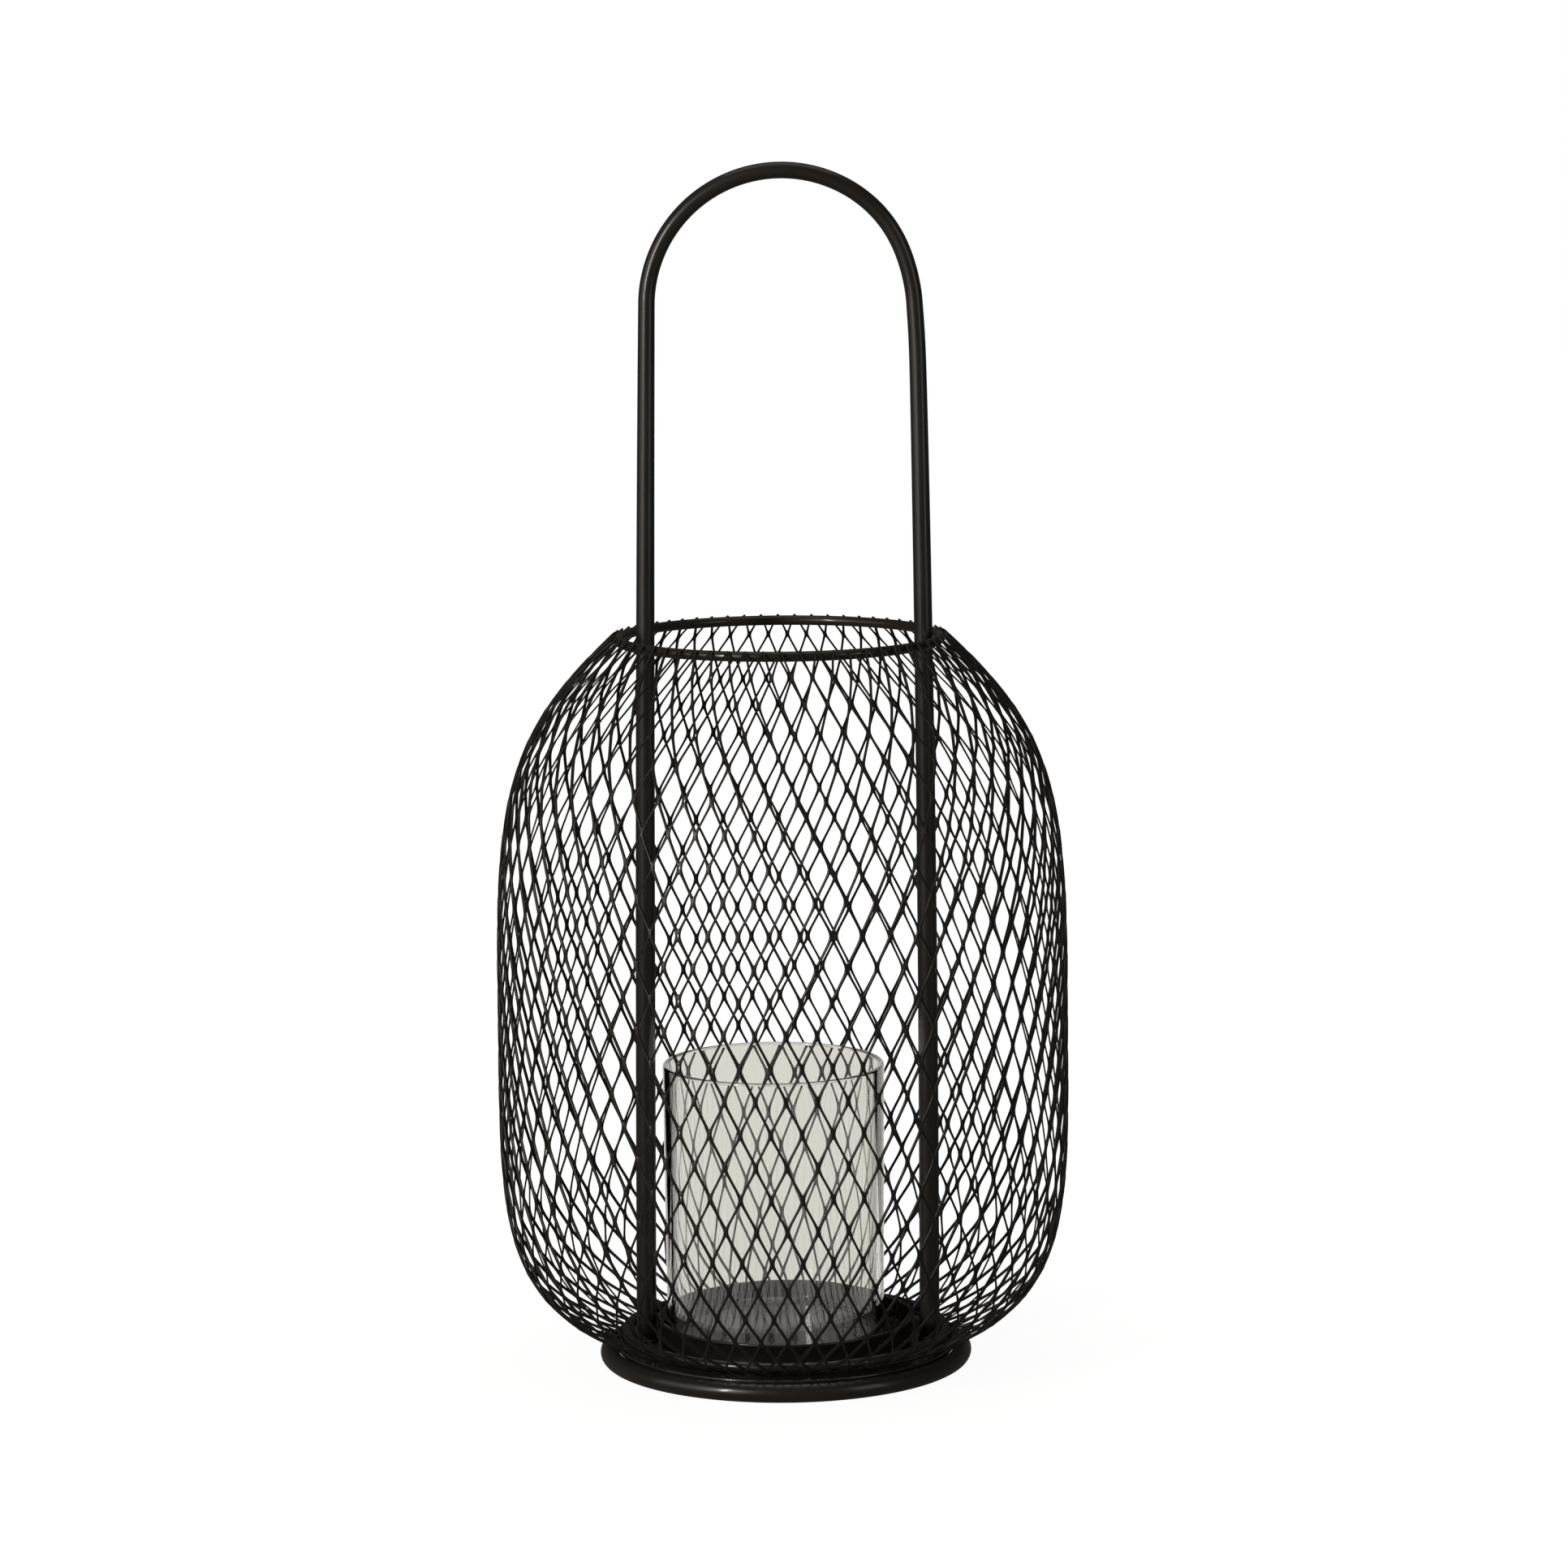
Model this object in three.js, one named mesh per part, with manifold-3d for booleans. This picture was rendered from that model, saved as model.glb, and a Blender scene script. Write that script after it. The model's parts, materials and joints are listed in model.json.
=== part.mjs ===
// Standing and carrying lantern of expanded steel mesh: a barrel-shaped basket on a tube foot, a tall fixed
// bail whose legs run down inside the basket, and a loose glass cylinder standing in a candle pan.
// Millimetres, +Z up, front towards -Y. The origin is the centre of the foot, on the surface it stands on.
import * as THREE from 'three';
import { mergeVertices } from 'three/addons/utils/BufferGeometryUtils.js';
import Module from 'manifold-3d';

const wasm = await Module();
wasm.setup();

// Clearance kept between pieces that touch or are welded
const GAP = 0.3;

// Foot: a ring of round tube, with the base plate let into its shoulder
const FOOT_RADIUS = 79.8;
const FOOT_TUBE_RADIUS = 4.2;
const PLATE_RADIUS = 75.8;
const PLATE_THICKNESS = 1.6;
const PLATE_BOTTOM = 6.8;
const PLATE_TOP = PLATE_BOTTOM + PLATE_THICKNESS;

// Rings of round rod that edge the mesh
const ROD_RADIUS = 2.25;
const TOP_RING_RADIUS = 71.8;
const TOP_RING_HEIGHT = 329.3;
const LOWER_RING_RADIUS = 72.3;
const LOWER_RING_HEIGHT = 13.5;

// Basket: outline of the mesh's outer face, from the top edge over the belly to the bottom edge
const MESH_TOP = new THREE.Vector2(74.1, 332.4);
const MESH_BELLY = new THREE.Vector2(128.5, 171.5);
const MESH_BOTTOM = new THREE.Vector2(73.9, 10.05);
const TOP_SLOPE = THREE.MathUtils.degToRad(42.5);
const TOP_REACH = 64;
const BELLY_REACH_UP = 91;
const BELLY_REACH_DOWN = 97.3;
const BOTTOM_SLOPE = THREE.MathUtils.degToRad(18.5);
const BOTTOM_REACH = 64;
const MESH_THICKNESS = 1.2;
const MESH_COLUMNS = 36;
const MESH_ROWS = 16;
const KNOT_LENGTH = 4.4;
const KNOT_WIDTH = 1.8;
const GORES = 12;
const GORE_COLUMNS = MESH_COLUMNS / GORES;
const BAND_ROWS = MESH_ROWS / 2;

// Bail: one bent tube, a half circle on two legs that splay and swell towards the base. The right leg bows
// out more than the left, and the crown's right shoulder is pressed in by the bending.
const CROWN_RADIUS = 59.7;
const CROWN_HEIGHT = 477;
const LEG_FOOT = 64.3;
const LEFT_BOW = new THREE.Vector2(62.8, 280);
const RIGHT_BOW = new THREE.Vector2(64.3, 280);
const SHOULDER_DIP = 1.27;
const SHOULDER_HEIGHT = 492;
const SHOULDER_SPREAD = 22;
const BAIL_TOP_RADIUS = 3.7;
const BAIL_FOOT_RADIUS = 4.5;
const BAIL_BORE_SHARE = 0.74;
const BAIL_SHIFT = 1;
const BAIL_LEAN = 0.0028;
const CROWN_STEPS = 26;
const LEG_STEPS = 6;
const LEG_TOLERANCE = 1e-8;

// Candle pan: a pressed dish with a rolled rim
const PAN_RADIUS = 57.4;
const PAN_THICKNESS = 0.8;
const PAN_BOTTOM = PLATE_TOP + GAP;
const PAN_TOP = 20.6;
const PAN_CORNER = 3;
const PAN_BEAD = 0.8;

// Glass: a straight candle cylinder with a thick foot and a fire-polished rim
const GLASS_BOTTOM = PAN_BOTTOM + PAN_THICKNESS + GAP;
const GLASS_TOP = 136.7;
const GLASS_TOP_RADIUS = 50;
const GLASS_FOOT_RADIUS = 49.1;
const GLASS_WALL = 2.4;
const GLASS_BASE = 4.5;
const GLASS_TOE = 1.6;
const GLASS_HOLLOW = 3;
const GLASS_OFFSET = -4.5;

// Leg fixings: a threaded insert in each leg's end, an M4 socket screw and a washer under the plate
const SCREW_RADIUS = 1.7;
const SCREW_LENGTH = 16;
const SCREW_HEAD_RADIUS = 3.5;
const SCREW_HEAD_HEIGHT = 2.4;
const SCREW_DOME_SHARE = 0.75;
const SOCKET_RADIUS = 1.45;
const SOCKET_DEPTH = 1.5;
const SOCKET_SIDES = 6;
const WASHER_RADIUS = 4.5;
const WASHER_THICKNESS = 0.8;
const INSERT_RADIUS = 2.95;
const INSERT_LENGTH = 14;
const HOLE_RADIUS = 2.3;
const THREAD_RADIUS = SCREW_RADIUS + GAP;

// Facets of round work
const RING_FACETS = 40;
const ROD_SIDES = 8;
const TUBE_SIDES = 10;
const BORE_SIDES = 6;
const SMALL_FACETS = 12;
const CORNER_STEPS = 2;
const RIM_STEPS = 4;

const blackPaint = () => new THREE.MeshStandardMaterial({ color: 0x1c1a18, roughness: 0.45, metalness: 0.2 });
const clearGlass = () => new THREE.MeshStandardMaterial({
  color: 0xe4e1da, roughness: 0.03, metalness: 0, transparent: true, opacity: 0.35,
});
const zincSteel = () => new THREE.MeshStandardMaterial({ color: 0x9a9c9e, roughness: 0.35, metalness: 0.9 });

function toManifold(geometry) {
  const bare = geometry.clone();
  bare.deleteAttribute('normal');
  bare.deleteAttribute('uv');
  const welded = mergeVertices(bare, 1e-4);
  return new wasm.Manifold(new wasm.Mesh({
    numProp: 3,
    vertProperties: new Float32Array(welded.attributes.position.array),
    triVerts: new Uint32Array(welded.index.array),
  }));
}

function fromManifold(solid) {
  const mesh = solid.getMesh();
  const geometry = new THREE.BufferGeometry();
  geometry.setAttribute('position', new THREE.BufferAttribute(mesh.vertProperties, 3));
  geometry.setIndex(new THREE.BufferAttribute(mesh.triVerts, 1));
  geometry.computeVertexNormals();
  return geometry;
}

// A radius for the corners of a polygon whose flats touch a circle
const cornerRadius = (radius, sides) => radius / Math.cos(Math.PI / sides);

// Points of an arc in the (radius, height) plane
function arc(x, y, radius, fromDegrees, toDegrees, steps) {
  return Array.from({ length: steps + 1 }, (_, i) => {
    const angle = THREE.MathUtils.degToRad(fromDegrees + (toDegrees - fromDegrees) * i / steps);
    return new THREE.Vector2(x + radius * Math.cos(angle), y + radius * Math.sin(angle));
  });
}

// Solid of revolution about Z from (radius, height) points running anticlockwise round the section
const turned = (points, facets) => new THREE.LatheGeometry(points, facets).rotateX(Math.PI / 2);

function ring(radius, height, tubeRadius, sides) {
  const corner = cornerRadius(tubeRadius, sides);
  const start = -90 + 180 / sides;
  const section = arc(radius, height, corner, start, start + 360, sides);
  section[sides].copy(section[0]);
  return turned(section, RING_FACETS);
}

function circle(radius, sides, x = 0, y = 0) {
  const turn = 2 * Math.PI / sides;
  return Array.from({ length: sides }, (_, i) => (
    new THREE.Vector2(x + radius * Math.cos(i * turn), y + radius * Math.sin(i * turn))
  ));
}

function disc(radius, facets, bottom, thickness, holes) {
  const shape = new THREE.Shape(circle(radius, facets));
  shape.holes = holes.map((points) => new THREE.Path(points));
  return new THREE.ExtrudeGeometry(shape, { depth: thickness, bevelEnabled: false }).translate(0, 0, bottom);
}

// Outline of the mesh's outer face, top edge first
function basketOutline() {
  const topPull = new THREE.Vector2(Math.cos(TOP_SLOPE), -Math.sin(TOP_SLOPE)).multiplyScalar(TOP_REACH);
  const bottomPull = new THREE.Vector2(Math.cos(BOTTOM_SLOPE), Math.sin(BOTTOM_SLOPE));
  bottomPull.multiplyScalar(BOTTOM_REACH);
  const outline = new THREE.CurvePath();
  outline.add(new THREE.CubicBezierCurve(
    MESH_TOP,
    MESH_TOP.clone().add(topPull),
    MESH_BELLY.clone().add(new THREE.Vector2(0, BELLY_REACH_UP)),
    MESH_BELLY,
  ));
  outline.add(new THREE.CubicBezierCurve(
    MESH_BELLY,
    MESH_BELLY.clone().add(new THREE.Vector2(0, -BELLY_REACH_DOWN)),
    MESH_BOTTOM.clone().add(bottomPull),
    MESH_BOTTOM,
  ));
  return outline;
}

const outline = basketOutline();
const outlineLength = outline.getLength();

// Point of the sheet at a distance down its outline, a turn from the front and a depth below its outer face
function sheetPoint(along, turn, depth) {
  const share = THREE.MathUtils.clamp(along / outlineLength, 0, 1);
  const point = outline.getPointAt(share);
  const tangent = outline.getTangentAt(share);
  const radius = point.x + tangent.y * depth;
  const height = point.y - tangent.x * depth;
  return new THREE.Vector3(radius * Math.sin(turn), -radius * Math.cos(turn), height);
}

// Corners of a knot on both faces of the sheet. kept is 'east' or 'west' for a knot that an upright cut
// halves, and 'whole' for any other. end is 'top' or 'bottom' for a knot in a panel's end row, and 'none' for
// any other.
function knot(row, column, kept, end) {
  const parting = row === BAND_ROWS ? GAP / 2 : 0;
  const along = outlineLength * row / MESH_ROWS + { top: parting, bottom: -parting, none: 0 }[end];
  const turn = 2 * Math.PI * (column + (row % 2) / 2) / MESH_COLUMNS;
  const radius = outline.getPointAt(row / MESH_ROWS).x;
  const sideways = KNOT_WIDTH / 2 / radius;
  const inset = { east: GAP / 2 / radius, west: -GAP / 2 / radius, whole: 0 }[kept];
  const north = end === 'top' ? along : along - KNOT_LENGTH / 2;
  const south = end === 'bottom' ? along : along + KNOT_LENGTH / 2;
  const face = (depth) => ({
    north: sheetPoint(north, turn + inset, depth),
    east: sheetPoint(along, turn + sideways, depth),
    south: sheetPoint(south, turn + inset, depth),
    west: sheetPoint(along, turn - sideways, depth),
  });
  return { kept, end, outer: face(0), inner: face(MESH_THICKNESS) };
}

// A knot's own corners, anticlockwise as seen from outside. A panel's end rows are cut off square.
function knotCorners({ kept, end }) {
  if (kept === 'east') return ['north', 'south', 'east'];
  if (kept === 'west') return ['north', 'west', 'south'];
  return {
    top: ['west', 'south', 'east'],
    bottom: ['west', 'east', 'north'],
    none: ['north', 'west', 'south', 'east'],
  }[end];
}

// The edges of a knot that no strand covers, each with metal on its left as seen from outside
function knotEdges({ kept, end }) {
  const upright = { east: [['north', 'south']], west: [['south', 'north']], whole: [] }[kept];
  const top = { east: ['east', 'north'], west: ['north', 'west'], whole: ['east', 'west'] }[kept];
  const bottom = { east: ['south', 'east'], west: ['west', 'south'], whole: ['west', 'east'] }[kept];
  return [...upright, ...{ top: [top], bottom: [bottom], none: [] }[end]];
}

// One panel of the mesh, between two upright cuts and above or below the belly. The cuts run through knots of
// the even rows. A strand joins each knot to the one or two knots beside it in the next row down.
function meshPanel(gore, firstRow) {
  const corners = [];

  function face(points) {
    for (let i = 2; i < points.length; i += 1) {
      [points[0], points[i - 1], points[i]].forEach((point) => corners.push(point.x, point.y, point.z));
    }
  }

  // A patch of both faces, from corners that run anticlockwise as seen from outside
  function patch(owners) {
    face(owners.map(([owner, side]) => owner.outer[side]));
    face(owners.map(([owner, side]) => owner.inner[side]).reverse());
  }

  // An edge through the thickness, with metal on its left as seen from outside
  function wall([from, side], [to, otherSide]) {
    face([from.outer[side], from.inner[side], to.inner[otherSide], to.outer[otherSide]]);
  }

  function strandRight(from, to) {
    patch([[from, 'east'], [from, 'south'], [to, 'west'], [to, 'north']]);
    wall([from, 'south'], [to, 'west']);
    wall([to, 'north'], [from, 'east']);
  }

  function strandLeft(from, to) {
    patch([[from, 'south'], [from, 'west'], [to, 'north'], [to, 'east']]);
    wall([from, 'west'], [to, 'north']);
    wall([to, 'east'], [from, 'south']);
  }

  function knotRow(row) {
    const first = gore * GORE_COLUMNS;
    const end = { [firstRow]: 'top', [firstRow + BAND_ROWS]: 'bottom' }[row] ?? 'none';
    const whole = (_, i) => knot(row, first + i, 'whole', end);
    if (row % 2 === 1) return Array.from({ length: GORE_COLUMNS }, whole);
    const inner = Array.from({ length: GORE_COLUMNS }, whole).slice(1);
    return [knot(row, first, 'east', end), ...inner, knot(row, first + GORE_COLUMNS, 'west', end)];
  }

  const rows = Array.from({ length: BAND_ROWS + 1 }, (_, i) => knotRow(firstRow + i));
  rows.forEach((knots, row) => knots.forEach((here, column) => {
    patch(knotCorners(here).map((side) => [here, side]));
    knotEdges(here).forEach(([side, otherSide]) => wall([here, side], [here, otherSide]));
    if (row === BAND_ROWS) return;
    if (here.kept !== 'west') strandRight(here, rows[row + 1][column + row % 2]);
    if (here.kept !== 'east') strandLeft(here, rows[row + 1][column + row % 2 - 1]);
  }));

  const geometry = new THREE.BufferGeometry();
  geometry.setAttribute('position', new THREE.Float32BufferAttribute(corners, 3));
  const welded = mergeVertices(geometry, 1e-4);
  welded.computeVertexNormals();
  return welded;
}

// Centre line of one of the bail's legs in the (distance, height) plane, foot first
const legLine = (bow) => new THREE.QuadraticBezierCurve(
  new THREE.Vector2(LEG_FOOT, PLATE_TOP + GAP),
  bow,
  new THREE.Vector2(CROWN_RADIUS, CROWN_HEIGHT),
);

const leftLeg = legLine(LEFT_BOW);
const rightLeg = legLine(RIGHT_BOW);

// How far the bail's right side is pressed in at a height
function shoulderDip(side, height) {
  const distance = (height - SHOULDER_HEIGHT) / SHOULDER_SPREAD;
  return side < 0 ? 0 : SHOULDER_DIP * Math.exp(-(distance ** 2));
}

// Centre line of the bail, from the left leg's foot over the crown to the right leg's foot. Its stations
// are close together round the crown and far apart along the legs.
class BailLine extends THREE.Curve {
  getPoint(t, target = new THREE.Vector3()) {
    const legShare = LEG_STEPS / (CROWN_STEPS + 2 * LEG_STEPS);
    const side = t < 0.5 ? -1 : 1;
    const fromFoot = t < 0.5 ? t : 1 - t;
    if (fromFoot < legShare) {
      const leg = t < 0.5 ? leftLeg : rightLeg;
      const point = leg.getPoint(fromFoot / legShare);
      return target.set(side * point.x - shoulderDip(side, point.y), 0, point.y);
    }
    const angle = Math.PI * (1 - (t - legShare) / (1 - 2 * legShare));
    const height = CROWN_HEIGHT + CROWN_RADIUS * Math.sin(angle);
    return target.set(CROWN_RADIUS * Math.cos(angle) - shoulderDip(side, height), 0, height);
  }

  getPointAt(u, target) {
    return this.getPoint(u, target);
  }

  getTangentAt(u, target) {
    return this.getTangent(u, target);
  }
}

// Distance of a leg's centre line from the bail's middle at a height, found by halving
function legCentre(leg, height) {
  let low = 0;
  let high = 1;
  while (high - low > LEG_TOLERANCE) {
    const middle = (low + high) / 2;
    if (leg.getPoint(middle).y < height) {
      low = middle;
    } else {
      high = middle;
    }
  }
  return leg.getPoint(low).x;
}

// Widens each leg about its own centre line: not at all at the crown, fully at the foot
function swellLegs(geometry) {
  const position = geometry.attributes.position;
  const bottom = PLATE_TOP + GAP;
  for (let i = 0; i < position.count; i += 1) {
    const height = position.getZ(i);
    if (height < CROWN_HEIGHT) {
      const share = Math.max((height - bottom) / (CROWN_HEIGHT - bottom), 0);
      const growth = 1 + (BAIL_FOOT_RADIUS / BAIL_TOP_RADIUS - 1) * (1 - share ** 2);
      const side = Math.sign(position.getX(i));
      const centre = side * legCentre(side < 0 ? leftLeg : rightLeg, height) - shoulderDip(side, height);
      position.setX(i, centre + (position.getX(i) - centre) * growth);
      position.setY(i, position.getY(i) * growth);
    }
  }
  return geometry;
}

function bail() {
  const section = new THREE.Shape(circle(cornerRadius(BAIL_TOP_RADIUS, TUBE_SIDES), TUBE_SIDES));
  const bore = circle(cornerRadius(BAIL_TOP_RADIUS * BAIL_BORE_SHARE, BORE_SIDES), BORE_SIDES);
  section.holes = [new THREE.Path(bore)];
  const tube = new THREE.ExtrudeGeometry(section, {
    steps: CROWN_STEPS + 2 * LEG_STEPS,
    extrudePath: new BailLine(),
  });
  return swellLegs(tube);
}

function candlePan() {
  const floor = PAN_BOTTOM + PAN_THICKNESS;
  const inner = PAN_CORNER - PAN_THICKNESS;
  return turned([
    new THREE.Vector2(0, PAN_BOTTOM),
    ...arc(PAN_RADIUS - PAN_CORNER, PAN_BOTTOM + PAN_CORNER, PAN_CORNER, -90, 0, CORNER_STEPS),
    ...arc(PAN_RADIUS, PAN_TOP - PAN_BEAD, PAN_BEAD, -60, 180, RIM_STEPS),
    ...arc(PAN_RADIUS - PAN_CORNER, PAN_BOTTOM + PAN_CORNER, inner, 0, -90, CORNER_STEPS),
    new THREE.Vector2(0, floor),
  ], RING_FACETS);
}

function glassCylinder() {
  const rim = GLASS_WALL / 2;
  const innerFoot = GLASS_FOOT_RADIUS - GLASS_WALL;
  const floor = GLASS_BOTTOM + GLASS_BASE;
  return turned([
    new THREE.Vector2(0, GLASS_BOTTOM),
    ...arc(GLASS_FOOT_RADIUS - GLASS_TOE, GLASS_BOTTOM + GLASS_TOE, GLASS_TOE, -90, 0, CORNER_STEPS),
    ...arc(GLASS_TOP_RADIUS - rim, GLASS_TOP - rim, rim, 0, 180, RIM_STEPS),
    ...arc(innerFoot - GLASS_HOLLOW, floor + GLASS_HOLLOW, GLASS_HOLLOW, 0, -90, CORNER_STEPS),
    new THREE.Vector2(0, floor),
  ], RING_FACETS);
}

const legInsert = () => disc(INSERT_RADIUS, SMALL_FACETS, PLATE_TOP + 2 * GAP, INSERT_LENGTH,
  [circle(THREAD_RADIUS, SMALL_FACETS)]);

const legWasher = () => disc(WASHER_RADIUS, SMALL_FACETS, PLATE_BOTTOM - GAP - WASHER_THICKNESS,
  WASHER_THICKNESS, [circle(HOLE_RADIUS, SMALL_FACETS)]);

// The screw points up; its domed head carries a hexagon socket
function legScrew() {
  const headTop = PLATE_BOTTOM - 2 * GAP - WASHER_THICKNESS;
  const headBottom = headTop - SCREW_HEAD_HEIGHT;
  const tip = headTop + SCREW_LENGTH;
  const dome = SCREW_HEAD_RADIUS * SCREW_DOME_SHARE;
  const screw = turned([
    new THREE.Vector2(0, headBottom),
    new THREE.Vector2(dome, headBottom),
    new THREE.Vector2(SCREW_HEAD_RADIUS, headTop - SCREW_HEAD_HEIGHT / 2),
    new THREE.Vector2(SCREW_HEAD_RADIUS, headTop),
    new THREE.Vector2(SCREW_RADIUS, headTop),
    new THREE.Vector2(SCREW_RADIUS, tip - SCREW_RADIUS / 2),
    new THREE.Vector2(SCREW_RADIUS / 2, tip),
    new THREE.Vector2(0, tip),
  ], SMALL_FACETS);
  const socket = disc(SOCKET_RADIUS, SOCKET_SIDES, headBottom - SOCKET_DEPTH, 2 * SOCKET_DEPTH, []);
  return fromManifold(toManifold(screw).subtract(toManifold(socket)));
}

function basePlate() {
  const holes = [-LEG_FOOT, LEG_FOOT].map((x) => circle(HOLE_RADIUS, SMALL_FACETS, x + BAIL_SHIFT));
  return disc(PLATE_RADIUS, RING_FACETS, PLATE_BOTTOM, PLATE_THICKNESS, holes);
}

function place(parent, name, geometry, material, x = 0) {
  const mesh = new THREE.Mesh(geometry, material);
  mesh.name = name;
  mesh.position.x = x;
  parent.add(mesh);
  return mesh;
}

const lantern = new THREE.Group();

const stand = new THREE.Group();
place(stand, 'foot_ring', ring(FOOT_RADIUS, FOOT_TUBE_RADIUS, FOOT_TUBE_RADIUS, TUBE_SIDES), blackPaint());
place(stand, 'base_plate', basePlate(), blackPaint());
place(stand, 'candle_pan', candlePan(), blackPaint());
lantern.add(stand);

const basket = new THREE.Group();
place(basket, 'top_ring', ring(TOP_RING_RADIUS, TOP_RING_HEIGHT, ROD_RADIUS, ROD_SIDES), blackPaint());
place(basket, 'lower_ring', ring(LOWER_RING_RADIUS, LOWER_RING_HEIGHT, ROD_RADIUS, ROD_SIDES), blackPaint());
for (let i = 0; i < GORES; i += 1) {
  const number = String(i + 1).padStart(2, '0');
  place(basket, `mesh_upper_${number}`, meshPanel(i, 0), blackPaint());
  place(basket, `mesh_lower_${number}`, meshPanel(i, BAND_ROWS), blackPaint());
}
lantern.add(basket);

const handle = place(lantern, 'bail', bail(), blackPaint(), BAIL_SHIFT);
handle.rotation.y = BAIL_LEAN;

for (const [side, x] of [['left', -LEG_FOOT], ['right', LEG_FOOT]]) {
  const fixing = new THREE.Group();
  place(fixing, `leg_insert_${side}`, legInsert(), zincSteel(), x + BAIL_SHIFT);
  place(fixing, `leg_washer_${side}`, legWasher(), zincSteel(), x + BAIL_SHIFT);
  place(fixing, `leg_screw_${side}`, legScrew(), zincSteel(), x + BAIL_SHIFT);
  lantern.add(fixing);
}

place(lantern, 'glass_cylinder', glassCylinder(), clearGlass(), GLASS_OFFSET);

export default lantern;
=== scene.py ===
"""Black expanded-metal candle lantern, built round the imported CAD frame. Metres, +Z up, front towards -Y."""
import json
import math
import random

import bmesh
import bpy
import numpy as np
from mathutils import Matrix, Vector


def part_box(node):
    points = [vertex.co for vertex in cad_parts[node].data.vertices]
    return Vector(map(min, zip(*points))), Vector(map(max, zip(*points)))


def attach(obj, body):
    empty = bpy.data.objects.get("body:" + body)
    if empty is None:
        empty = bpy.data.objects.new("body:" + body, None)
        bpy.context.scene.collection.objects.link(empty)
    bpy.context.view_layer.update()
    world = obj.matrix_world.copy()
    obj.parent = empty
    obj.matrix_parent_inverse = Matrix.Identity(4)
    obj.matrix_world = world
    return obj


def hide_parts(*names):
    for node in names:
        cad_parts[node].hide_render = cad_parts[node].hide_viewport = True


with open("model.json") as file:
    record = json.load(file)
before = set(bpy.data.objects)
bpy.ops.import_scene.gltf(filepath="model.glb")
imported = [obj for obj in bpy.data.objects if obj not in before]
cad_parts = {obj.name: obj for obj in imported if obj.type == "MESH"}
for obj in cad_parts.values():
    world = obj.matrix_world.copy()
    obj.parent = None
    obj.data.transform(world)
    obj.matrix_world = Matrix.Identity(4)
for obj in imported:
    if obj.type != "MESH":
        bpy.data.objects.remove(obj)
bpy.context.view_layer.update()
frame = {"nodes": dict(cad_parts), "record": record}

MM = 0.001
TAU = 2 * math.pi

# Camera: where the photographer stood, and the lens on a 36 mm sensor
CAMERA_PLACE = Vector((1.5, -2335.5, 596.4)) * MM
CAMERA_PITCH = 0.1416
CAMERA_ROLL = -0.0094
CAMERA_LENS = 120.94
SENSOR_WIDTH = 36
VIEW_DEPTH = 50

# Expanded metal sheet
CELLS = 60
HALF_ROWS = 25
SEAM_TURN = math.radians(-20.45)
SHEET_THICKNESS = 0.85 * MM
SHEET_RAISE = 0.22 * MM
SHEET_JITTER = 0.12 * MM
STRAND_HALF_WIDTH = 0.60 * MM
STRAND_OFFSET = 0.98 * MM
KNOT_HALF_WIDTH = 0.80 * MM
KNOT_HALF_HEIGHT = 2.0 * MM
NECK_HEIGHT = 2.8 * MM
END_NARROWING = 0.18
RIM_CREASE = 0.35
# The seam's knots are opened into eyes
EYE_SCALE = 1.35
EYE_HALF_WIDTH = 0.42 * MM
EYE_HALF_HEIGHT = 1.55 * MM
# How far a row lies below an even spacing, by row
ROW_DRIFT = ((0, 0), (5, 2.7), (9, 2.4), (19, 0), (22, -2.1), (25, 0))

# Outline of the basket between the boxes of its panels
EDGE_RADIUS = 74.0 * MM
SKIN_MARGIN = 0.2 * MM
BELLY_HEIGHT = 171.5 * MM
TOP_SLOPE = math.radians(42.5)
TOP_REACH = 64 * MM
BELLY_REACH_UP = 91 * MM
BELLY_REACH_DOWN = 97.3 * MM
BOTTOM_SLOPE = math.radians(18.5)
BOTTOM_REACH = 64 * MM
OUTLINE_STEPS = 400

# Bail, as the CAD node bends it
CROWN_RADIUS = 59.7 * MM
LEG_FOOT = 64.3 * MM
LEFT_BOW = (62.8 * MM, 280 * MM)
RIGHT_BOW = (64.3 * MM, 280 * MM)
SHOULDER_DIP = 1.27 * MM
SHOULDER_HEIGHT = 492 * MM
SHOULDER_SPREAD = 22 * MM
BAIL_TOP_RADIUS = 3.7 * MM
BAIL_FOOT_RADIUS = 4.5 * MM
BAIL_BORE_SHARE = 0.74
BAIL_SHIFT = 1.0 * MM
BAIL_LEAN = 0.0028
BAIL_SIDES = 28
LEG_STEPS = 60
CROWN_STEPS = 96

# Plate, pan and glass
PLATE_OVERLAP = 0.95 * MM
PLATE_EDGE = 0.25 * MM
SCREW_HOLE = 2.3 * MM
PAN_SHEET = 0.8 * MM
PAN_BEAD = 0.8 * MM
PAN_CORNER = 3 * MM
GLASS_WALL = 2.4 * MM
GLASS_BASE = 4.5 * MM
GLASS_TAPER = 0.9 * MM
GLASS_TOE = 1.6 * MM
GLASS_HOLLOW = 3 * MM

# Button-head screws and their washers
HEAD_RADIUS = 3.5 * MM
HEAD_HEIGHT = 2.4 * MM
HEAD_ROUND = 1.2 * MM
SHANK_RADIUS = 1.7 * MM
SOCKET_RADIUS = 1.45 * MM
SOCKET_DEPTH = 1.5 * MM
SCREW_SIDES = 48
WASHER_BORE = 2.3 * MM
WASHER_EDGE = 0.15 * MM

# Welds
SEAM_OFFSET = 0.5 * MM
SEAM_ROD = 0.75 * MM
TACK_SIZE = 1.3 * MM
TACK_INSET = 0.6 * MM
TACK_RISE = 0.3 * MM
TACK_AZIMUTHS = (-21.4, 7.8, 52, 97, 142, 187, 232, 277, 308)
COLLAR_ROD = 0.7 * MM
COLLAR_GAP = 0.1 * MM
COLLAR_RISE = 0.75 * MM

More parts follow.
